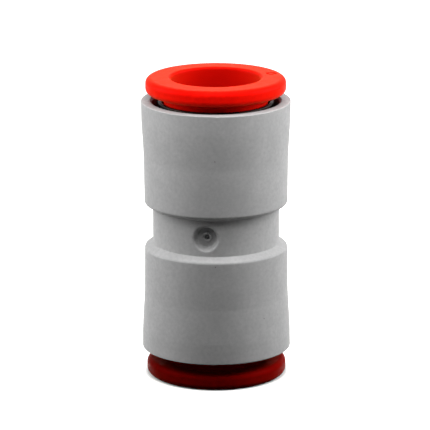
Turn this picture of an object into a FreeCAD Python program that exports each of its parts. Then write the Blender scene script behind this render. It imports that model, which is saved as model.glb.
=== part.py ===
import FreeCAD, Part
import math
import os
import re
import Sketcher

# A push-in straight union for plastic tube. One moulded body takes a tube in each end.
# Each end holds, from the middle outwards: a lip seal, a claw ring inside a slotted collet,
# a guide ring pressed into the mouth, and a flanged release button that slides in the guide ring.
# The tube axis is Z and the middle of the web between the two tube stops is the origin.

doc = FreeCAD.newDocument("StraightUnion")
sheet = doc.addObject("Spreadsheet::Sheet", "Sizes")

# The driving dimensions, in millimetres. Radii build up from the tube outwards, as walls and
# gaps between pieces, and heights build up from the middle of the fitting to its ends.
SIZES = {
    # the tube that the fitting takes, and what it meets inside
    "tube_radius": 6.35,
    "tube_wall": 1.75,
    "pilot_gap": 0.05,
    "pilot_length": 4.8,
    "stop_height": 1.2,
    "lead_in": 0.3,
    # outside of the body: the waist, then the walls of the boss outside the guide ring
    "waist_wall": 2.95,
    "waist_foot_height": 2.7,
    "shoulder_rise": 0.65,
    "boss_root_wall": 1.22,
    "ramp_foot_wall": 1.3,
    "ramp_foot_drop": 8.15,
    "collar_wall": 1.6,
    "collar_drop": 2.95,
    "mouth_wall": 1.65,
    "shoulder_round": 0.45,
    "ramp_blend": 6.0,
    "mouth_round": 0.12,
    "foot_round": 0.15,
    # gate recess moulded into the waist
    "gate_turn": 9.4,
    "gate_mouth_radius": 1.9,
    "gate_floor_radius": 1.4,
    "gate_floor_round": 0.25,
    "gate_depth": 1.2,
    "gate_ring_radius": 0.72,
    "gate_ring_width": 0.3,
    "gate_ring_height": 0.2,
    "gate_ring_round": 0.1,
    "gate_ring_right_turn": 185.0,
    "gate_ring_left_turn": 95.0,
    "gate_hole_depth": 0.5,
    "gate_stub_radius": 0.14,
    "gate_stub_height": 0.2,
    "gate_edge_round": 0.3,
    # inside of the body, from the seal outwards
    "seal_section": 1.65,
    "seal_length": 2.95,
    "seal_room": 0.25,
    "mouth_chamfer": 0.33,
    # lip seal
    "lip_squeeze": 0.15,
    "lip_height": 0.9,
    "lip_reach": 0.35,
    "lip_thickness": 0.42,
    "seal_groove_depth": 1.5,
    "seal_wall": 0.75,
    "seal_heel_gap": 0.6,
    "seal_heel_length": 0.9,
    # claw ring, bent from thin sheet
    "claw_bite": 0.15,
    "claw_sheet": 0.25,
    "claw_drop": 0.8,
    "claw_root_rise": 1.2,
    "claw_band_length": 1.5,
    "claw_count": 12,
    "claw_slot": 0.6,
    "claw_slot_rise": 0.5,
    "claw_ring_split": 0.8,
    # collet
    "collet_gap": 0.05,
    "collet_lip_gap": 0.65,
    "collet_top_gap": 0.45,
    "collet_crown": 0.4,
    "grip_float": 0.4,
    "wedge_gap": 0.02,
    "collet_slots": 6,
    "collet_slot_width": 0.9,
    "collet_base": 1.9,
    "collet_edge": 0.2,
    # guide ring, turned and pressed into the mouth
    "guide_foot_gap": 1.2,
    "guide_wall": 1.05,
    "guide_foot_wall": 0.5,
    "guide_body_length": 6.2,
    "guide_neck_length": 2.0,
    "guide_neck_wall": 0.55,
    "guide_recess": 0.05,
    "guide_lip_round": 0.25,
    "guide_lead": 0.2,
    "barb_count": 3,
    "barb_pitch": 0.9,
    "barb_depth": 0.15,
    "barb_start": 0.9,
    # release button
    "button_gap": 0.25,
    "press_travel": 1.0,
    "button_play": 0.7,
    "press_gap": 0.1,
    "flange_inset": 0.67,
    "flange_thickness": 2.35,
    "flange_top_round": 0.85,
    "flange_under_round": 0.8,
    "rim_round": 0.45,
    "sleeve_wall": 1.05,
    "sleeve_gap": 0.3,
    "hook_reach": 0.55,
    "hook_height": 0.8,
    "hook_gap": 0.05,
    "hook_side_gap": 0.1,
    "hook_taper": 0.6,
    "nose_wall": 0.6,
    "nose_gap": 0.05,
    "nose_side_gap": 0.15,
    "nose_taper": 0.6,
    "nose_edge": 0.25,
    "button_slots": 4,
    "button_slot_width": 1.0,
    "button_slot_top": 1.6,
    # small round mark that the mould leaves on the button's face
    "mark_turn": 15.0,
    "mark_radius": 0.8,
    "mark_core_radius": 0.4,
    "mark_depth": 0.15,
}

for row, (alias, value) in enumerate(SIZES.items(), start=1):
    sheet.set(f"A{row}", alias)
    sheet.set(f"B{row}", str(value))
    sheet.setAlias(f"B{row}", alias)
doc.recompute()

# Radii that follow from the driving dimensions, from the flow passage outwards.
FLOW_RADIUS = "(tube_radius - tube_wall)"
PILOT_RADIUS = "(tube_radius + pilot_gap)"
SEAL_RADIUS = f"({PILOT_RADIUS} + seal_section)"
WAIST_RADIUS = f"({PILOT_RADIUS} + waist_wall)"
BUTTON_BORE = "(tube_radius + button_gap)"
NOSE_RADIUS = f"({BUTTON_BORE} + nose_wall)"
SLEEVE_RADIUS = f"({BUTTON_BORE} + sleeve_wall)"
HOOK_RADIUS = f"({SLEEVE_RADIUS} + hook_reach)"
NECK_BORE = f"({SLEEVE_RADIUS} + sleeve_gap)"
NECK_RADIUS = f"({NECK_BORE} + guide_neck_wall)"
GUIDE_BORE = f"({HOOK_RADIUS} + hook_side_gap)"
GUIDE_RADIUS = f"({GUIDE_BORE} + guide_wall)"
WEDGE_RADIUS = f"({GUIDE_RADIUS} - guide_foot_wall)"
MOUTH_RADIUS = f"({GUIDE_RADIUS} + mouth_wall)"
FLANGE_RADIUS = f"({MOUTH_RADIUS} - flange_inset)"
CLAW_TIP = "(tube_radius - claw_bite)"
CLAW_BAND_BORE = f"({NOSE_RADIUS} + nose_side_gap)"
CLAW_BAND_RADIUS = f"({CLAW_BAND_BORE} + claw_sheet)"
CLAW_REACH = f"({CLAW_BAND_RADIUS} - {CLAW_TIP})"

# Heights that follow, from the middle to the end.
SHOULDER_HEIGHT = "(waist_foot_height + shoulder_rise)"
SEAL_FLOOR = "(stop_height + pilot_length)"
SEAL_TOP = f"({SEAL_FLOOR} + seal_length)"
COLLET_SEAT = f"({SEAL_TOP} + seal_room)"
COLLET_FOOT = f"({COLLET_SEAT} + collet_gap)"
GUIDE_FOOT = f"({COLLET_SEAT} + guide_foot_gap)"
GUIDE_STEP = f"({GUIDE_FOOT} + guide_body_length)"
GUIDE_TOP = f"({GUIDE_STEP} + guide_neck_length)"
BODY_TOP = f"({GUIDE_TOP} + guide_recess)"
CLAW_ROOT = f"({COLLET_FOOT} + claw_root_rise)"
BUTTON_STROKE = "(press_travel + button_play)"
CLAW_RISE = f"(claw_sheet * sqrt(1 + (claw_drop / {CLAW_REACH}) ^ 2))"
NOSE_END = f"({CLAW_ROOT} + nose_gap + {BUTTON_STROKE} + grip_float)"
HOOK_TOP = f"({GUIDE_STEP} - hook_gap)"
HOOK_FOOT = f"({HOOK_TOP} - hook_height)"
COLLET_TOP = f"({HOOK_FOOT} - {BUTTON_STROKE} - grip_float - collet_top_gap)"
WEDGE_TOP = f"({COLLET_TOP} - collet_crown)"
WEDGE_SLOPE = f"(({WEDGE_RADIUS} - {GUIDE_BORE}) / ({WEDGE_TOP} - {GUIDE_FOOT}))"
COLLET_SIDE_GAP = f"(grip_float * {WEDGE_SLOPE} + wedge_gap)"
FLANGE_FOOT = f"({BODY_TOP} + press_gap + {BUTTON_STROKE})"
BUTTON_TOP = f"({FLANGE_FOOT} + flange_thickness)"

# how a sketch counts its own axes, and the points of a line, arc or circle
X_AXIS, Y_AXIS = -1, -2
START, END, CENTRE = 1, 2, 3


def bound(formula):
    # the same formula with each size name pointing at the sheet
    return re.sub(r"\b(?!sqrt)[a-z][a-z_]+\b", lambda word: "Sizes." + word.group(), formula)


def number(formula):
    return float(sheet.evalExpression(bound(formula)))


def origin_part(body, role):
    return next(part for part in body.Origin.OriginFeatures if part.Role == role)


def add_rule(sketch, name, rule, formula):
    # a sketch constraint that follows a formula
    sketch.renameConstraint(sketch.addConstraint(rule), name)
    sketch.setExpression(f"Constraints.{name}", bound(formula))


def place_at(sketch, index, corner):
    # ties the first point of one piece of geometry to a place given by two formulas
    for kind, formula, axis in (("DistanceX", corner[0], Y_AXIS), ("DistanceY", corner[1], X_AXIS)):
        if formula == "0":
            sketch.addConstraint(Sketcher.Constraint("PointOnObject", index, START, axis))
            continue
        rule = Sketcher.Constraint(kind, X_AXIS, START, index, START, number(formula))
        add_rule(sketch, f"{kind}{index}", rule, formula)


def round_corner(sketch, before, after, corner, point, blend):
    # joins two lines that were cut short of their corner by a tangent arc
    into = (point - sketch.Geometry[before].StartPoint).normalize()
    out = (sketch.Geometry[after].EndPoint - point).normalize()
    left_turn = into.cross(out).z > 0
    side = FreeCAD.Vector(-into.y, into.x, 0) * (1 if left_turn else -1)
    centre = sketch.Geometry[before].EndPoint + side * blend
    first, last = sketch.Geometry[before].EndPoint, sketch.Geometry[after].StartPoint
    if not left_turn:
        first, last = last, first
    angles = [math.atan2((end - centre).y, (end - centre).x) for end in (first, last)]
    circle = Part.Circle(centre, FreeCAD.Vector(0, 0, 1), blend)
    arc = sketch.addGeometry(Part.ArcOfCircle(circle, *angles))
    mark = sketch.addGeometry(Part.Point(point), True)
    place_at(sketch, mark, corner)
    for line in (before, after):
        sketch.addConstraint(Sketcher.Constraint("PointOnObject", mark, START, line))
    ends = (START, END) if left_turn else (END, START)
    sketch.addConstraint(Sketcher.Constraint("Tangent", before, END, arc, ends[0]))
    sketch.addConstraint(Sketcher.Constraint("Tangent", after, START, arc, ends[1]))
    add_rule(sketch, f"Round{arc}", Sketcher.Constraint("Radius", arc, blend), corner[2])


def outline(body, name, corners):
    # a closed outline in the XZ plane: each corner is a radius, a height and perhaps a rounding
    sketch = body.newObject("Sketcher::SketchObject", name)
    sketch.AttachmentSupport = [(origin_part(body, "XZ_Plane"), "")]
    sketch.MapMode = "FlatFace"
    points = [FreeCAD.Vector(number(corner[0]), number(corner[1]), 0) for corner in corners]
    blends = [number(corner[2]) if len(corner) > 2 else 0 for corner in corners]
    count = len(corners)
    trims = []
    for index, point in enumerate(points):
        into = point - points[index - 1]
        out = points[(index + 1) % count] - point
        trims.append(blends[index] * math.tan(into.getAngle(out) / 2))
    for index, start in enumerate(points):
        end = points[(index + 1) % count]
        along = (end - start).normalize()
        cut_start = start + along * trims[index]
        cut_end = end - along * trims[(index + 1) % count]
        sketch.addGeometry(Part.LineSegment(cut_start, cut_end))
    for index, corner in enumerate(corners):
        before = (index - 1) % count
        if blends[index]:
            round_corner(sketch, before, index, corner, points[index], blends[index])
        else:
            sketch.addConstraint(Sketcher.Constraint("Coincident", before, END, index, START))
            place_at(sketch, index, corner)
    return sketch


def turned(body, name, corners):
    # a full ring from a half section
    sketch = outline(body, name + "_section", corners)
    ring = body.newObject("PartDesign::Revolution", name)
    ring.Profile = sketch
    ring.ReferenceAxis = (sketch, ["V_Axis"])
    sketch.Visibility = False
    doc.recompute()
    return ring


def slot(body, name, corners, width):
    # a straight cut through one side of a ring, as wide as the named size
    sketch = outline(body, name + "_shape", corners)
    cut = body.newObject("PartDesign::Pocket", name)
    cut.Profile = sketch
    cut.SideType = "Symmetric"
    cut.setExpression("Length", bound(width))
    doc.recompute()
    return cut


def around(body, name, cut, count):
    pattern = body.newObject("PartDesign::PolarPattern", name)
    pattern.Originals = [cut]
    pattern.Axis = (origin_part(body, "Z_Axis"), [""])
    pattern.setExpression("Occurrences", bound(count))
    body.Tip = pattern
    doc.recompute()
    return pattern


def new_body(label):
    body = doc.addObject("PartDesign::Body", label)
    body.Label = label
    return body


def make_body():
    body = new_body("body")
    turned(body, "half_body", [
        (FLOW_RADIUS, "0"),
        (WAIST_RADIUS, "0"),
        (WAIST_RADIUS, "waist_foot_height", "foot_round"),
        (f"{GUIDE_RADIUS} + boss_root_wall", SHOULDER_HEIGHT, "shoulder_round"),
        (f"{GUIDE_RADIUS} + ramp_foot_wall", f"{BODY_TOP} - ramp_foot_drop", "ramp_blend"),
        (f"{GUIDE_RADIUS} + collar_wall", f"{BODY_TOP} - collar_drop", "ramp_blend"),
        (MOUTH_RADIUS, BODY_TOP, "mouth_round"),
        (f"{GUIDE_RADIUS} + mouth_chamfer", BODY_TOP),
        (GUIDE_RADIUS, f"{BODY_TOP} - mouth_chamfer"),
        (GUIDE_RADIUS, COLLET_SEAT),
        (SEAL_RADIUS, COLLET_SEAT),
        (SEAL_RADIUS, SEAL_FLOOR),
        (f"{PILOT_RADIUS} + lead_in", SEAL_FLOOR),
        (PILOT_RADIUS, f"{SEAL_FLOOR} - lead_in"),
        (PILOT_RADIUS, "stop_height"),
        (f"{FLOW_RADIUS} + lead_in", "stop_height"),
        (FLOW_RADIUS, "stop_height - lead_in"),
    ])
    whole = body.newObject("PartDesign::Mirrored", "both_ends")
    whole.TransformMode = "Whole shape"
    whole.MirrorPlane = (origin_part(body, "XY_Plane"), [""])
    body.Tip = whole
    doc.recompute()
    make_gate_recess(body)
    return body


def make_gate_recess(body):
    # the recess is turned about a line that leaves the waist at right angles, near the front
    floor = f"({WAIST_RADIUS} - gate_depth)"
    ring_top = f"({floor} + gate_ring_height)"
    hole_floor = f"({floor} - gate_hole_depth)"
    ring_bore = "(gate_ring_radius - gate_ring_width)"
    # its wall slopes on past the waist, and has the mouth's radius halfway up
    outside = f"({WAIST_RADIUS} + gate_depth)"
    section = gate_outline(body, "gate_section", [
        (f"{hole_floor} + gate_stub_height", "0"),
        (f"{hole_floor} + gate_stub_height", "gate_stub_radius"),
        (hole_floor, "gate_stub_radius"),
        (hole_floor, ring_bore),
        (floor, ring_bore),
        (floor, "gate_floor_radius", "gate_floor_round"),
        (outside, "2 * gate_mouth_radius - gate_floor_radius"),
        (outside, "0"),
    ])
    recess = body.newObject("PartDesign::Groove", "gate_recess")
    recess.Profile = section
    recess.ReferenceAxis = (section, ["H_Axis"])
    doc.recompute()
    rounding = body.newObject("PartDesign::Fillet", "gate_edge")
    rounding.Base = (recess, edges_round_recess(recess.Shape))
    rounding.setExpression("Radius", "Sizes.gate_edge_round")
    doc.recompute()
    # the torn-off gate leaves a low ring that is open at its lower left
    ring_section = gate_outline(body, "gate_ring_section", [
        (floor, ring_bore),
        (ring_top, ring_bore, "gate_ring_round"),
        (ring_top, "gate_ring_radius", "gate_ring_round"),
        (floor, "gate_ring_radius"),
    ])
    ring = body.newObject("PartDesign::Revolution", "gate_ring")
    ring.Profile = ring_section
    ring.ReferenceAxis = (ring_section, ["H_Axis"])
    ring.Type = "TwoAngles"
    ring.setExpression("Angle", "Sizes.gate_ring_left_turn")
    ring.setExpression("Angle2", "Sizes.gate_ring_right_turn")
    body.Tip = ring
    doc.recompute()


def gate_outline(body, name, corners):
    # an outline that swings about the tube axis, from +X to the front and on towards -X
    sketch = outline(body, name, corners)
    upright = FreeCAD.Rotation(FreeCAD.Vector(0, 1, 0), 1)
    sketch.AttachmentOffset = FreeCAD.Placement(FreeCAD.Vector(), upright)
    sketch.setExpression("AttachmentOffset.Rotation.Angle", "-90 - Sizes.gate_turn")
    return sketch


def edges_round_recess(shape):
    # they lie on the waist's surface, and rise no higher than the recess does
    samples, closeness = 9, 0.01
    waist, mouth = number(WAIST_RADIUS), number("gate_mouth_radius")
    names = []
    for index, edge in enumerate(shape.Edges, start=1):
        points = edge.discretize(samples)
        off_waist = max(abs(math.hypot(point.x, point.y) - waist) for point in points)
        top = max(point.z for point in points)
        if off_waist < closeness and closeness < top < mouth + closeness:
            names.append(f"Edge{index}")
    return names


def make_release_button(label):
    body = new_body(label)
    turned(body, "button", [
        (BUTTON_BORE, f"{NOSE_END} + nose_edge"),
        (f"{BUTTON_BORE} + nose_edge", NOSE_END),
        (f"{NOSE_RADIUS} - nose_edge", NOSE_END),
        (NOSE_RADIUS, f"{NOSE_END} + nose_taper"),
        (NOSE_RADIUS, f"{HOOK_FOOT} - hook_taper"),
        (HOOK_RADIUS, HOOK_FOOT),
        (HOOK_RADIUS, HOOK_TOP),
        (SLEEVE_RADIUS, HOOK_TOP),
        (SLEEVE_RADIUS, FLANGE_FOOT),
        (FLANGE_RADIUS, FLANGE_FOOT, "flange_under_round"),
        (FLANGE_RADIUS, BUTTON_TOP, "flange_top_round"),
        (BUTTON_BORE, BUTTON_TOP, "rim_round"),
    ])
    # slots let the hooks spring in when the button is snapped into the guide ring
    slot_top = f"{HOOK_TOP} + button_slot_top"
    cut = slot(body, "hook_slot", [
        (f"{BUTTON_BORE} - button_gap", f"{NOSE_END} - nose_gap"),
        (f"{HOOK_RADIUS} + hook_side_gap", f"{NOSE_END} - nose_gap"),
        (f"{HOOK_RADIUS} + hook_side_gap", slot_top),
        (f"{BUTTON_BORE} - button_gap", slot_top),
    ], "button_slot_width")
    around(body, "hook_slots", cut, "button_slots")
    mark = body.newObject("Sketcher::SketchObject", "mould_mark_shape")
    mark.AttachmentSupport = [(origin_part(body, "XY_Plane"), "")]
    mark.MapMode = "FlatFace"
    flat = FreeCAD.Rotation(FreeCAD.Vector(0, 0, 1), 1)
    mark.AttachmentOffset = FreeCAD.Placement(FreeCAD.Vector(), flat)
    mark.setExpression("AttachmentOffset.Base.z", bound(BUTTON_TOP))
    mark.setExpression("AttachmentOffset.Rotation.Angle", "Sizes.mark_turn")
    middle = f"(({BUTTON_BORE} + {FLANGE_RADIUS}) / 2)"
    for index, radius in enumerate(("mark_radius", "mark_core_radius")):
        centre = FreeCAD.Vector(number(middle), 0, 0)
        mark.addGeometry(Part.Circle(centre, FreeCAD.Vector(0, 0, 1), number(radius)))
        mark.addConstraint(Sketcher.Constraint("PointOnObject", index, CENTRE, X_AXIS))
        place = Sketcher.Constraint("DistanceX", X_AXIS, START, index, CENTRE, number(middle))
        add_rule(mark, f"Place{index}", place, middle)
        add_rule(mark, f"Radius{index}", Sketcher.Constraint("Radius", index, number(radius)), radius)
    pocket = body.newObject("PartDesign::Pocket", "mould_mark")
    pocket.Profile = mark
    pocket.setExpression("Length", "Sizes.mark_depth")
    body.Tip = pocket
    doc.recompute()
    return body


def make_guide_ring(label):
    body = new_body(label)
    barbs = []
    for index in range(int(SIZES["barb_count"])):
        foot = f"({GUIDE_FOOT} + barb_start + {index} * barb_pitch)"
        barbs += [
            (GUIDE_RADIUS, foot),
            (f"{GUIDE_RADIUS} - barb_depth", f"{foot} + barb_depth"),
            (GUIDE_RADIUS, f"{foot} + barb_pitch - barb_depth"),
        ]
    turned(body, "ring", [
        (WEDGE_RADIUS, GUIDE_FOOT),
        (f"{GUIDE_RADIUS} - guide_lead", GUIDE_FOOT),
        (GUIDE_RADIUS, f"{GUIDE_FOOT} + guide_lead"),
        *barbs,
        (GUIDE_RADIUS, GUIDE_STEP),
        (NECK_RADIUS, GUIDE_STEP),
        (NECK_RADIUS, GUIDE_TOP, "guide_lip_round"),
        (NECK_BORE, GUIDE_TOP, "guide_lip_round"),
        (NECK_BORE, GUIDE_STEP),
        (GUIDE_BORE, GUIDE_STEP),
        (GUIDE_BORE, WEDGE_TOP),
    ])
    return body


def make_collet(label):
    body = new_body(label)
    foot_radius = f"({WEDGE_RADIUS} - {COLLET_SIDE_GAP})"
    top_radius = f"({GUIDE_BORE} - {COLLET_SIDE_GAP})"
    lip_radius = "(tube_radius + collet_lip_gap)"
    lip_rise = f"(claw_drop * ({CLAW_BAND_RADIUS} - {lip_radius}) / {CLAW_REACH})"
    turned(body, "collet", [
        (lip_radius, COLLET_FOOT),
        (f"{foot_radius} - collet_edge", COLLET_FOOT),
        (foot_radius, f"{COLLET_FOOT} + collet_edge"),
        (foot_radius, GUIDE_FOOT),
        (top_radius, WEDGE_TOP),
        (top_radius, f"{COLLET_TOP} - collet_edge"),
        (f"{top_radius} - collet_edge", COLLET_TOP),
        (CLAW_BAND_RADIUS, COLLET_TOP),
        (CLAW_BAND_RADIUS, CLAW_ROOT),
        (lip_radius, f"{CLAW_ROOT} - {lip_rise}"),
    ])
    slot_foot = f"{COLLET_FOOT} + collet_base"
    slot_top = f"{COLLET_TOP} + collet_edge"
    cut = slot(body, "collet_slot", [
        (NOSE_RADIUS, slot_foot),
        (GUIDE_RADIUS, slot_foot),
        (GUIDE_RADIUS, slot_top),
        (NOSE_RADIUS, slot_top),
    ], "collet_slot_width")
    around(body, "collet_fingers", cut, "collet_slots")
    return body


def make_claw_ring(label):
    body = new_body(label)
    tip_foot = f"({CLAW_ROOT} - claw_drop)"
    bend = f"({CLAW_ROOT} + {CLAW_RISE} - claw_drop * claw_sheet / {CLAW_REACH})"
    band_top = f"({CLAW_ROOT} + claw_band_length)"
    turned(body, "claw_band", [
        (CLAW_BAND_BORE, band_top),
        (CLAW_BAND_RADIUS, band_top),
        (CLAW_BAND_RADIUS, CLAW_ROOT),
        (CLAW_TIP, tip_foot),
        (CLAW_TIP, f"{tip_foot} + {CLAW_RISE}"),
        (CLAW_BAND_BORE, bend),
    ])
    inside = f"({CLAW_TIP} - claw_sheet)"
    outside = f"({CLAW_BAND_RADIUS} + claw_sheet)"
    below = f"({tip_foot} - claw_sheet)"
    slot_top = f"({bend} + claw_slot_rise)"
    cut = slot(body, "claw_slot_cut", [
        (inside, below),
        (outside, below),
        (outside, slot_top),
        (inside, slot_top),
    ], "claw_slot")
    around(body, "claws", cut, "claw_count")
    # one slot runs on through the band, so that the ring can close on a tube
    slot(body, "band_split", [
        (inside, below),
        (outside, below),
        (outside, f"{band_top} + claw_sheet"),
        (inside, f"{band_top} + claw_sheet"),
    ], "claw_ring_split")
    return body


def make_tube_seal(label):
    body = new_body(label)
    lip_radius = "(tube_radius - lip_squeeze)"
    lip_crest = f"({SEAL_FLOOR} + lip_height)"
    heel_radius = "(tube_radius + seal_heel_gap)"
    turned(body, "seal", [
        (SEAL_RADIUS, SEAL_FLOOR),
        (SEAL_RADIUS, SEAL_TOP),
        (heel_radius, SEAL_TOP),
        (heel_radius, f"{SEAL_TOP} - seal_heel_length"),
        (lip_radius, lip_crest),
        (lip_radius, f"{lip_crest} - lip_reach"),
        (f"{lip_radius} + lip_thickness", f"{lip_crest} - lip_reach - lip_thickness"),
        (f"{SEAL_RADIUS} - seal_wall", f"{SEAL_FLOOR} + seal_groove_depth"),
        (f"{SEAL_RADIUS} - seal_wall", SEAL_FLOOR),
    ])
    return body


nodes = [make_body()]
makers = {
    "release_button": make_release_button,
    "guide_ring": make_guide_ring,
    "collet": make_collet,
    "claw_ring": make_claw_ring,
    "tube_seal": make_tube_seal,
}
half_turn = FreeCAD.Rotation(FreeCAD.Vector(1, 0, 0), 180)
for end, rotation in (("upper", FreeCAD.Rotation()), ("lower", half_turn)):
    for piece, make in makers.items():
        node = make(f"{end}_{piece}")
        node.Placement = FreeCAD.Placement(FreeCAD.Vector(), rotation)
        nodes.append(node)

# The buttons are drawn fully out. The upper one has slid in by its play, as its weight lets it.
upper_button = next(node for node in nodes if node.Label == "upper_release_button")
upper_button.setExpression("Placement.Base.z", bound("-button_play"))
doc.recompute()

for item in doc.Objects:
    if "Invalid" in item.State or "Error" in item.State:
        raise SystemExit(f"{item.Label} failed: {item.State}")
for node in nodes:
    if node.Shape.isNull() or not node.Shape.isValid() or len(node.Shape.Solids) != 1:
        raise SystemExit(f"{node.Label} isn't one valid solid")

os.makedirs("parts", exist_ok=True)
for node in nodes:
    node.Shape.exportStep(f"parts/{node.Label}.step")
    print(node.Label, round(node.Shape.Volume, 3))
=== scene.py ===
import math

import bpy
from mathutils import Matrix, Vector


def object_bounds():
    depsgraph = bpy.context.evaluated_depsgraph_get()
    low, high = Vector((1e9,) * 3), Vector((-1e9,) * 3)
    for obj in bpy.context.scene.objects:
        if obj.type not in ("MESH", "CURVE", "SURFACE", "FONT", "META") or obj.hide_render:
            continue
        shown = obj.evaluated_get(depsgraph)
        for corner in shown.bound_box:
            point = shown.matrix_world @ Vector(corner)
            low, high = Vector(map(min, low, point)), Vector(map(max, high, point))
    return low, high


# A push-in union for plastic tube, standing on its lower release button under soft studio light.
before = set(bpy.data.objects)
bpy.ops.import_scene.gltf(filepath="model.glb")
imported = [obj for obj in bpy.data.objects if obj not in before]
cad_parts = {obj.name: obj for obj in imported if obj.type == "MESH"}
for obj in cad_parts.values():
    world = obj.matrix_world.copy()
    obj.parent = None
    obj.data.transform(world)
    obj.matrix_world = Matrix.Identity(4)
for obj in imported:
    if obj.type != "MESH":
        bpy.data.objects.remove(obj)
cadBounds = [list(corner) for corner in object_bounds()]
millimetre = 0.001
print("frame loaded:", len(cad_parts), "nodes")


def hexToLinear(code):
    # an sRGB hex colour as linear red, green, blue and alpha
    parts = [int(code[i:i + 2], 16) / 255 for i in (1, 3, 5)]
    linear = [p / 12.92 if p <= 0.04045 else ((p + 0.055) / 1.055) ** 2.4 for p in parts]
    return (*linear, 1.0)


def addNode(tree, kind, links=None, inputs=None, **settings):
    # links and inputs are keyed by the socket's name or number on the new node
    node = tree.nodes.new(kind)
    for name, value in settings.items():
        setattr(node, name, value)
    for name, value in (inputs or {}).items():
        node.inputs[name].default_value = value
    for name, source in (links or {}).items():
        tree.links.new(source, node.inputs[name])
    return node


def newMaterial(name):
    # gives the material, its empty tree and the place on the object, in metres, that its patterns follow
    material = bpy.data.materials.new(name)
    material.use_nodes = True
    tree = material.node_tree
    tree.nodes.clear()
    place = addNode(tree, "ShaderNodeTexCoord").outputs["Object"]
    return material, tree, place


def finishMaterial(tree, shader):
    addNode(tree, "ShaderNodeOutputMaterial", links={"Surface": shader.outputs[0]})


def patternScale(size):
    # how often a pattern of this size in millimetres fits into the metre that a texture counts in
    return 1 / (size * millimetre)


# camera

camera = {
    "distance": 505.9 * millimetre,
    "elevation": 14.924,  # degrees, as the roll is
    "roll": 0.155,
    "lens": 286.3,  # millimetres, as the sensor is
    "sensor": 36.0,
    "clipStart": 0.01,  # metres
    "imageWidth": 430,
    "centreX": 216.08,  # where the photo shows the middle of the fitting, in pixels
    "centreY": 222.75,
}


def makeCamera():
    data = bpy.data.cameras.new("camera")
    data.lens = camera["lens"]
    data.sensor_width = camera["sensor"]
    middle = camera["imageWidth"] / 2
    data.shift_x = (middle - camera["centreX"]) / camera["imageWidth"]
    data.shift_y = (camera["centreY"] - middle) / camera["imageWidth"]
    data.clip_start = camera["clipStart"]
    eye = bpy.data.objects.new("camera", data)
    tilt = math.radians(camera["elevation"])
    eye.location = (0, -camera["distance"] * math.cos(tilt), camera["distance"] * math.sin(tilt))
    turn = Matrix.Rotation(math.radians(90) - tilt, 4, "X")
    roll = Matrix.Rotation(math.radians(-camera["roll"]), 4, "Z")
    eye.rotation_euler = (turn @ roll).to_euler()
    bpy.context.scene.collection.objects.link(eye)
    bpy.context.scene.camera = eye
    bpy.context.scene.view_settings.view_transform = "Standard"


makeCamera()
print("camera made")


# light: a small soft box close above the front, a near and a far one on each side, and a weak one behind

lamps = {
    # name: azimuth from the camera's side, elevation, distance, size, power, in degrees, metres and watts
    "frontTop": (0, 63, 0.087, 0.065, 0.0610),
    "leftNear": (-90, 30, 0.16, 0.12, 0.225),
    "rightNear": (90, 30, 0.16, 0.12, 0.310),
    "leftSoftbox": (-105, 5, 0.45, 0.30, 0.65),
    "rightSoftbox": (120, 5, 0.45, 0.30, 0.20),
    "backFill": (180, 45, 0.45, 0.30, 0.5),
}
# the lower button stands in the shade of the body, and gets weaker light of its own
shadeLamps = {
    "shadeFront": (0, 70, 0.10, 0.07, 0.024),
    "shadeLeft": (-95, 35, 0.16, 0.08, 0.030),
    "shadeRight": (95, 35, 0.16, 0.08, 0.070),
}
ambient = 0.028  # how pale the surroundings are to scattered light
shadedNodes = ("lower_release_button", "lower_guide_ring")


def makeLamps(settings, nodes, link):
    # with the link INCLUDE the lamps light only these nodes, and with EXCLUDE everything else
    receivers = bpy.data.collections.new("lit by " + next(iter(settings)))
    for node in nodes:
        receivers.objects.link(node)
    for member in receivers.collection_objects:
        member.light_linking.link_state = link
    for name, (azimuth, elevation, distance, size, power) in settings.items():
        data = bpy.data.lights.new(name, "AREA")
        data.shape = "SQUARE"
        data.size = size
        data.energy = power
        lamp = bpy.data.objects.new(name, data)
        turn, tilt = math.radians(azimuth), math.radians(elevation)
        across = math.cos(tilt)
        aim = Vector((math.sin(turn) * across, -math.cos(turn) * across, math.sin(tilt)))
        lamp.location = aim * distance
        lamp.rotation_euler = aim.to_track_quat("Z", "Y").to_euler()
        bpy.context.scene.collection.objects.link(lamp)
        lamp.light_linking.receiver_collection = receivers


def seenDirectly(tree):
    # 1 for what the camera or a clear reflection sees, 0 once the light has been scattered
    path = addNode(tree, "ShaderNodeLightPath")
    looks = addNode(tree, "ShaderNodeMath", operation="MAXIMUM", links={
        0: path.outputs["Is Camera Ray"], 1: path.outputs["Is Glossy Ray"]})
    unscattered = addNode(tree, "ShaderNodeMath", operation="LESS_THAN", links={
        0: path.outputs["Diffuse Depth"]}, inputs={1: 1.0})
    return addNode(tree, "ShaderNodeMath", operation="MULTIPLY", links={
        0: looks.outputs[0], 1: unscattered.outputs[0]}).outputs[0]


def makeWorld():
    world = bpy.data.worlds.new("studio")
    world.use_nodes = True
    bpy.context.scene.world = world
    tree = world.node_tree
    tree.nodes.clear()
    dim = addNode(tree, "ShaderNodeBackground", inputs={"Color": (ambient, ambient, ambient, 1)})
    white = addNode(tree, "ShaderNodeBackground", inputs={"Color": hexToLinear("#FFFFFF")})
    mix = addNode(tree, "ShaderNodeMixShader", links={
        0: seenDirectly(tree), 1: dim.outputs[0], 2: white.outputs[0]})
    addNode(tree, "ShaderNodeOutputWorld", links={"Surface": mix.outputs[0]})


floorPaper = {
    "size": 3.0,  # metres
    "colour": "#F4F4F2",
    "bounceColour": "#030303",  # what the paper sends up to the object, which the photo shows dark below
    "nearGlow": 0.80,
    "farGlow": 1.0,
    "nearRadius": 22.0,  # mm from the object's axis
    "farRadius": 60.0,
    "contactReach": 2.0,  # mm, how far the painted contact shadow round the object's foot reaches
    "contactDark": 0.50,  # the open share of the sky at which the paper's glow is gone
    "contactClear": 0.75,  # and the share at which it is whole
}


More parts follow.
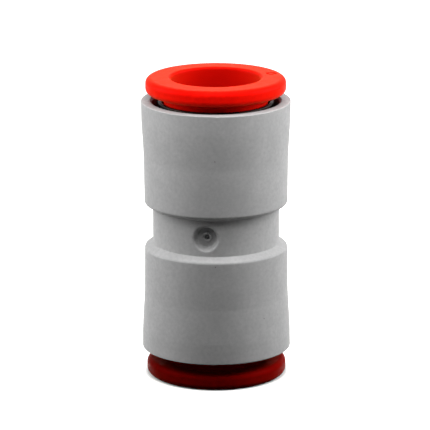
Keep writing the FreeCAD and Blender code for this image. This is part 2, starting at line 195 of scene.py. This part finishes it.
def makeFloor():
    # matt paper: the camera sees it pale, it glows a little more away from the object, and a painted
    # contact shadow dims the glow at the object's foot
    bpy.ops.mesh.primitive_plane_add(size=floorPaper["size"], location=(0, 0, cadBounds[0][2]))
    floor = bpy.context.object
    floor.name = "floor"
    material, tree, place = newMaterial("matt white paper")
    away = addNode(tree, "ShaderNodeVectorMath", operation="LENGTH", links={0: place})
    glow = addNode(tree, "ShaderNodeMapRange", interpolation_type="SMOOTHSTEP", links={
        "Value": away.outputs["Value"]}, inputs={
        "From Min": floorPaper["nearRadius"] * millimetre,
        "From Max": floorPaper["farRadius"] * millimetre,
        "To Min": floorPaper["nearGlow"], "To Max": floorPaper["farGlow"]})
    dim = addNode(tree, "ShaderNodeBsdfDiffuse", inputs={
        "Color": hexToLinear(floorPaper["bounceColour"])})
    pale = addNode(tree, "ShaderNodeBsdfDiffuse", inputs={"Color": hexToLinear(floorPaper["colour"])})
    # painted contact shadow: ambient occlusion dims the paper's glow close to the object's foot
    nearby = addNode(tree, "ShaderNodeAmbientOcclusion", inputs={
        "Distance": floorPaper["contactReach"] * millimetre})
    clear = addNode(tree, "ShaderNodeMapRange", links={"Value": nearby.outputs["AO"]}, inputs={
        "From Min": floorPaper["contactDark"], "From Max": floorPaper["contactClear"]})
    strength = addNode(tree, "ShaderNodeMath", operation="MULTIPLY", links={
        0: glow.outputs["Result"], 1: clear.outputs["Result"]})
    shine = addNode(tree, "ShaderNodeEmission", links={"Strength": strength.outputs[0]})
    lit = addNode(tree, "ShaderNodeAddShader", links={0: pale.outputs[0], 1: shine.outputs[0]})
    mix = addNode(tree, "ShaderNodeMixShader", links={
        0: seenDirectly(tree), 1: dim.outputs[0], 2: lit.outputs[0]})
    finishMaterial(tree, mix)
    floor.data.materials.append(material)


shaded = [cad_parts[name] for name in shadedNodes]
makeLamps(lamps, shaded, "EXCLUDE")
makeLamps(shadeLamps, shaded, "INCLUDE")
makeWorld()
makeFloor()
print("light and floor made")


# materials

# most values of a noise texture lie in this range, which a mix or a roughness is spread over
noiseRange = {"From Min": 0.35, "From Max": 0.65}
# the sockets of a Mix node for colours, which share their names and so are told apart by number
mixShare, mixFirst, mixSecond, mixed = 0, 6, 7, 2
acrossAxis = (1, 1, 0)  # a place times this leaves out its height

# Polybutylene terephthalate, injection moulded against spark-eroded steel: a dry light grey with a fine
# even grain, faint clouds where the melt flowed, and a dust speck here and there.
bodyPbt = {
    "colour": "#A7A7A7",
    "cloudColour": "#ADADAD",
    "cloudSize": 3.0,  # millimetres, as are all sizes below
    "mottleColour": "#9B9B9C",
    "mottleSize": 0.5,
    "mottleStart": 0.36,  # the noise value at which the mottle sets in, and the one at which it is full
    "mottleFull": 0.70,
    "mottleShare": 0.62,
    "speckColour": "#66625C",
    "speckSpacing": 3.4,
    "speckSize": 0.20,
    "grainSize": 0.22,  # drawn coarser than the real 0.1, so that it shows
    "grainHeight": 0.0045,
    "smoothest": 0.48,
    "roughest": 0.62,
    "specular": 0.2,
}


def makeMouldedPbt():
    look = bodyPbt
    material, tree, place = newMaterial("PBT, moulded grey")
    clouds = addNode(tree, "ShaderNodeTexNoise", links={"Vector": place}, inputs={
        "Scale": patternScale(look["cloudSize"]), "Detail": 2.0})
    mottle = addNode(tree, "ShaderNodeTexNoise", links={"Vector": place}, inputs={
        "Scale": patternScale(look["mottleSize"]), "Detail": 3.0, "Roughness": 0.6})
    grain = addNode(tree, "ShaderNodeTexNoise", links={"Vector": place}, inputs={
        "Scale": patternScale(look["grainSize"]), "Detail": 4.0, "Roughness": 0.65})
    cloudShare = addNode(tree, "ShaderNodeMapRange", links={
        "Value": clouds.outputs["Fac"]}, inputs=noiseRange)
    base = addNode(tree, "ShaderNodeMix", data_type="RGBA", links={
        mixShare: cloudShare.outputs["Result"]}, inputs={
        mixFirst: hexToLinear(look["colour"]),
        mixSecond: hexToLinear(look["cloudColour"])})
    mottleShare = addNode(tree, "ShaderNodeMapRange", links={"Value": mottle.outputs["Fac"]}, inputs={
        "From Min": look["mottleStart"], "From Max": look["mottleFull"], "To Max": look["mottleShare"]})
    mottled = addNode(tree, "ShaderNodeMix", data_type="RGBA", links={
        mixShare: mottleShare.outputs["Result"], mixFirst: base.outputs[mixed]}, inputs={
        mixSecond: hexToLinear(look["mottleColour"])})
    # a speck is drawn round those cell middles that happen to lie just at the surface
    cells = addNode(tree, "ShaderNodeTexVoronoi", links={"Vector": place}, inputs={
        "Scale": patternScale(look["speckSpacing"])})
    reach = look["speckSize"] / 2 / look["speckSpacing"]
    specks = addNode(tree, "ShaderNodeMapRange", links={"Value": cells.outputs["Distance"]}, inputs={
        "From Min": reach, "From Max": reach / 2})
    colour = addNode(tree, "ShaderNodeMix", data_type="RGBA", links={
        mixShare: specks.outputs["Result"], mixFirst: mottled.outputs[mixed]}, inputs={
        mixSecond: hexToLinear(look["speckColour"])})
    rough = addNode(tree, "ShaderNodeMapRange", links={"Value": mottle.outputs["Fac"]}, inputs={
        **noiseRange, "To Min": look["smoothest"], "To Max": look["roughest"]})
    bump = addNode(tree, "ShaderNodeBump", links={"Height": grain.outputs["Fac"]}, inputs={
        "Strength": 1.0, "Distance": look["grainHeight"] * millimetre})
    shader = addNode(tree, "ShaderNodeBsdfPrincipled", links={
        "Base Color": colour.outputs[mixed], "Roughness": rough.outputs["Result"],
        "Normal": bump.outputs["Normal"]}, inputs={"Specular IOR Level": look["specular"]})
    finishMaterial(tree, shader)
    return material


# Polyoxymethylene, injection moulded from polished steel and dyed through: a saturated orange-red with a
# soft, waxy gloss and slightly uneven colour.
buttonPom = {
    "colour": "#EE0703",
    "patchColour": "#E60703",
    "patchSize": 0.8,
    "patchStart": 0.40,
    "patchFull": 0.72,
    "flowColour": "#F40E05",
    "flowSize": 5.0,
    "rippleSize": 0.6,
    "rippleHeight": 0.0008,
    "smoothest": 0.36,
    "roughest": 0.42,
    "boreShadeColour": "#C20602",  # painted shade: the wall inside the bore is drawn a deeper red, for the shade it stands in
    "boreRadius": 6.6,
    "boreFade": 0.35,
    "specular": 0.01,
    "edgeGlow": 0.225,
    "edgeGlowColour": "#FF9A50",  # light that enters the plastic and comes out at a flat angle
    "edgeGlowSpread": 0.45,
}


def makeMouldedPom():
    look = buttonPom
    material, tree, place = newMaterial("POM, moulded orange-red")
    flow = addNode(tree, "ShaderNodeTexNoise", links={"Vector": place}, inputs={
        "Scale": patternScale(look["flowSize"]), "Detail": 2.0})
    patches = addNode(tree, "ShaderNodeTexNoise", links={"Vector": place}, inputs={
        "Scale": patternScale(look["patchSize"]), "Detail": 3.0})
    ripple = addNode(tree, "ShaderNodeTexNoise", links={"Vector": place}, inputs={
        "Scale": patternScale(look["rippleSize"]), "Detail": 3.0})
    flowShare = addNode(tree, "ShaderNodeMapRange", links={
        "Value": flow.outputs["Fac"]}, inputs=noiseRange)
    base = addNode(tree, "ShaderNodeMix", data_type="RGBA", links={
        mixShare: flowShare.outputs["Result"]}, inputs={
        mixFirst: hexToLinear(look["colour"]),
        mixSecond: hexToLinear(look["flowColour"])})
    patchShare = addNode(tree, "ShaderNodeMapRange", links={"Value": patches.outputs["Fac"]}, inputs={
        "From Min": look["patchStart"], "From Max": look["patchFull"]})
    patched = addNode(tree, "ShaderNodeMix", data_type="RGBA", links={
        mixShare: patchShare.outputs["Result"], mixFirst: base.outputs[mixed]}, inputs={
        mixSecond: hexToLinear(look["patchColour"])})
    level = addNode(tree, "ShaderNodeVectorMath", operation="MULTIPLY", links={
        0: place}, inputs={1: acrossAxis})
    radius = addNode(tree, "ShaderNodeVectorMath", operation="LENGTH", links={0: level.outputs[0]})
    # painted shade: within the bore's radius the colour fades to the deeper bore red
    outside = addNode(tree, "ShaderNodeMapRange", links={"Value": radius.outputs["Value"]}, inputs={
        "From Min": look["boreRadius"] * millimetre,
        "From Max": (look["boreRadius"] + look["boreFade"]) * millimetre})
    colour = addNode(tree, "ShaderNodeMix", data_type="RGBA", links={
        mixShare: outside.outputs["Result"], mixSecond: patched.outputs[mixed]}, inputs={
        mixFirst: hexToLinear(look["boreShadeColour"])})
    rough = addNode(tree, "ShaderNodeMapRange", links={"Value": patches.outputs["Fac"]}, inputs={
        **noiseRange, "To Min": look["smoothest"], "To Max": look["roughest"]})
    bump = addNode(tree, "ShaderNodeBump", links={"Height": ripple.outputs["Fac"]}, inputs={
        "Strength": 1.0, "Distance": look["rippleHeight"] * millimetre})
    shader = addNode(tree, "ShaderNodeBsdfPrincipled", links={
        "Base Color": colour.outputs[mixed], "Roughness": rough.outputs["Result"],
        "Normal": bump.outputs["Normal"]}, inputs={
        "Specular IOR Level": look["specular"], "Sheen Weight": look["edgeGlow"],
        "Sheen Tint": hexToLinear(look["edgeGlowColour"]), "Sheen Roughness": look["edgeGlowSpread"]})
    finishMaterial(tree, shader)
    return material


# Stainless steel, turned on a lathe: fine rings from the tool's feed. Its near-black colour, with lighter
# blotches at random, is painted shade for the dark gap under the button where the ring sits.
guideSteel = {
    # painted shade: near black for the shade of the gap round the ring
    "colour": "#171412",
    "lighterColour": "#2C2723",
    "blotchSize": 1.6,
    "blotchStart": 0.40,
    "blotchFull": 0.72,
    "feed": 0.16,  # drawn coarser than the real 0.08, so that it shows
    "feedHeight": 0.004,
    "ringLow": 0.3,
    "ringHigh": 0.7,
    "smoothest": 0.28,
    "roughest": 0.45,
}


def makeTurnedSteel():
    look = guideSteel
    material, tree, place = newMaterial("stainless steel, turned, drawn dark as painted shade")
    # the tool's path: outwards along the flat faces and upwards along the round ones
    split = addNode(tree, "ShaderNodeSeparateXYZ", links={0: place})
    level = addNode(tree, "ShaderNodeVectorMath", operation="MULTIPLY", links={
        0: place}, inputs={1: acrossAxis})
    radius = addNode(tree, "ShaderNodeVectorMath", operation="LENGTH", links={0: level.outputs[0]})
    path = addNode(tree, "ShaderNodeMath", operation="ADD", links={
        0: radius.outputs["Value"], 1: split.outputs["Z"]})
    rings = addNode(tree, "ShaderNodeTexNoise", noise_dimensions="1D", links={
        "W": path.outputs[0]}, inputs={"Scale": patternScale(look["feed"]), "Detail": 2.0})
    blotches = addNode(tree, "ShaderNodeTexNoise", links={"Vector": place}, inputs={
        "Scale": patternScale(look["blotchSize"]), "Detail": 4.0, "Roughness": 0.6})
    share = addNode(tree, "ShaderNodeMapRange", links={"Value": blotches.outputs["Fac"]}, inputs={
        "From Min": look["blotchStart"], "From Max": look["blotchFull"]})
    # painted shade: the ring's dark colour stands in for the shade it sits in
    colour = addNode(tree, "ShaderNodeMix", data_type="RGBA", links={
        mixShare: share.outputs["Result"]}, inputs={
        mixFirst: hexToLinear(look["colour"]),
        mixSecond: hexToLinear(look["lighterColour"])})
    rough = addNode(tree, "ShaderNodeMapRange", links={"Value": rings.outputs["Fac"]}, inputs={
        "From Min": look["ringLow"], "From Max": look["ringHigh"],
        "To Min": look["smoothest"], "To Max": look["roughest"]})
    bump = addNode(tree, "ShaderNodeBump", links={"Height": rings.outputs["Fac"]}, inputs={
        "Strength": 1.0, "Distance": look["feedHeight"] * millimetre})
    shader = addNode(tree, "ShaderNodeBsdfPrincipled", links={
        "Base Color": colour.outputs[mixed], "Roughness": rough.outputs["Result"],
        "Normal": bump.outputs["Normal"]}, inputs={"Metallic": 1.0})
    finishMaterial(tree, shader)
    return material


# Polyoxymethylene in its natural colour, injection moulded: an off-white with a faint milky cloud in it.
colletPom = {
    "colour": "#DBD9CD",
    "cloudColour": "#D2CFBF",
    "cloudSize": 1.2,
    "grainSize": 0.3,  # drawn coarser than the real 0.1, so that it shows
    "grainHeight": 0.004,
    "smoothest": 0.38,
    "roughest": 0.5,
    "specular": 0.4,
}


def makeNaturalPom():
    look = colletPom
    material, tree, place = newMaterial("POM, moulded natural")
    clouds = addNode(tree, "ShaderNodeTexNoise", links={"Vector": place}, inputs={
        "Scale": patternScale(look["cloudSize"]), "Detail": 3.0})
    grain = addNode(tree, "ShaderNodeTexNoise", links={"Vector": place}, inputs={
        "Scale": patternScale(look["grainSize"]), "Detail": 4.0})
    share = addNode(tree, "ShaderNodeMapRange", links={
        "Value": clouds.outputs["Fac"]}, inputs=noiseRange)
    colour = addNode(tree, "ShaderNodeMix", data_type="RGBA", links={
        mixShare: share.outputs["Result"]}, inputs={
        mixFirst: hexToLinear(look["colour"]),
        mixSecond: hexToLinear(look["cloudColour"])})
    rough = addNode(tree, "ShaderNodeMapRange", links={"Value": grain.outputs["Fac"]}, inputs={
        **noiseRange, "To Min": look["smoothest"], "To Max": look["roughest"]})
    bump = addNode(tree, "ShaderNodeBump", links={"Height": grain.outputs["Fac"]}, inputs={
        "Strength": 1.0, "Distance": look["grainHeight"] * millimetre})
    shader = addNode(tree, "ShaderNodeBsdfPrincipled", links={
        "Base Color": colour.outputs[mixed], "Roughness": rough.outputs["Result"],
        "Normal": bump.outputs["Normal"]}, inputs={"Specular IOR Level": look["specular"]})
    finishMaterial(tree, shader)
    return material


# Stainless spring strip, cold rolled and then stamped: a cool grey with fine streaks from the rolls.
clawSteel = {
    "colour": "#A9AAAD",
    "streakColour": "#8E8F93",
    "streakWidth": 0.12,  # drawn coarser than the real 0.02, so that it shows
    "streakLength": 2.5,
    "streakHeight": 0.002,
    "smoothest": 0.22,
    "roughest": 0.38,
}


def makeStampedSteel():
    look = clawSteel
    material, tree, place = newMaterial("stainless steel, rolled and stamped")
    long, narrow = patternScale(look["streakLength"]), patternScale(look["streakWidth"])
    drawn = addNode(tree, "ShaderNodeMapping", links={"Vector": place}, inputs={
        "Scale": (long, long, narrow)})
    streaks = addNode(tree, "ShaderNodeTexNoise", links={"Vector": drawn.outputs[0]}, inputs={
        "Scale": 1.0, "Detail": 3.0})
    share = addNode(tree, "ShaderNodeMapRange", links={
        "Value": streaks.outputs["Fac"]}, inputs=noiseRange)
    colour = addNode(tree, "ShaderNodeMix", data_type="RGBA", links={
        mixShare: share.outputs["Result"]}, inputs={
        mixFirst: hexToLinear(look["colour"]),
        mixSecond: hexToLinear(look["streakColour"])})
    rough = addNode(tree, "ShaderNodeMapRange", links={"Value": streaks.outputs["Fac"]}, inputs={
        **noiseRange, "To Min": look["smoothest"], "To Max": look["roughest"]})
    bump = addNode(tree, "ShaderNodeBump", links={"Height": streaks.outputs["Fac"]}, inputs={
        "Strength": 1.0, "Distance": look["streakHeight"] * millimetre})
    shader = addNode(tree, "ShaderNodeBsdfPrincipled", links={
        "Base Color": colour.outputs[mixed], "Roughness": rough.outputs["Result"],
        "Normal": bump.outputs["Normal"]}, inputs={"Metallic": 1.0})
    finishMaterial(tree, shader)
    return material


# Nitrile rubber, pressed in a mould and lightly greased: black, matt, a little shinier where grease sits.
sealRubber = {
    "colour": "#0E0E0F",
    "bloomColour": "#1E1D1C",
    "bloomSize": 1.0,
    "bloomStart": 0.40,
    "bloomFull": 0.70,
    "grainSize": 0.15,  # drawn coarser than the real 0.05, so that it shows
    "grainHeight": 0.003,
    "smoothest": 0.35,
    "roughest": 0.7,
}


def makeMouldedRubber():
    look = sealRubber
    material, tree, place = newMaterial("nitrile rubber, moulded")
    bloom = addNode(tree, "ShaderNodeTexNoise", links={"Vector": place}, inputs={
        "Scale": patternScale(look["bloomSize"]), "Detail": 4.0})
    grain = addNode(tree, "ShaderNodeTexNoise", links={"Vector": place}, inputs={
        "Scale": patternScale(look["grainSize"]), "Detail": 3.0})
    share = addNode(tree, "ShaderNodeMapRange", links={"Value": bloom.outputs["Fac"]}, inputs={
        "From Min": look["bloomStart"], "From Max": look["bloomFull"]})
    colour = addNode(tree, "ShaderNodeMix", data_type="RGBA", links={
        mixShare: share.outputs["Result"]}, inputs={
        mixFirst: hexToLinear(look["colour"]),
        mixSecond: hexToLinear(look["bloomColour"])})
    rough = addNode(tree, "ShaderNodeMapRange", links={"Value": bloom.outputs["Fac"]}, inputs={
        **noiseRange, "To Min": look["smoothest"], "To Max": look["roughest"]})
    bump = addNode(tree, "ShaderNodeBump", links={"Height": grain.outputs["Fac"]}, inputs={
        "Strength": 1.0, "Distance": look["grainHeight"] * millimetre})
    shader = addNode(tree, "ShaderNodeBsdfPrincipled", links={
        "Base Color": colour.outputs[mixed], "Roughness": rough.outputs["Result"],
        "Normal": bump.outputs["Normal"]})
    finishMaterial(tree, shader)
    return material


finishes = {
    # the last words of a node's name, and what the piece is made of
    "body": makeMouldedPbt(),
    "release_button": makeMouldedPom(),
    "guide_ring": makeTurnedSteel(),
    "collet": makeNaturalPom(),
    "claw_ring": makeStampedSteel(),
    "tube_seal": makeMouldedRubber(),
}
for name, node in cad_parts.items():
    piece = name.removeprefix("upper_").removeprefix("lower_")
    node.data.materials.clear()
    node.data.materials.append(finishes[piece])
print("materials made:", len(finishes))
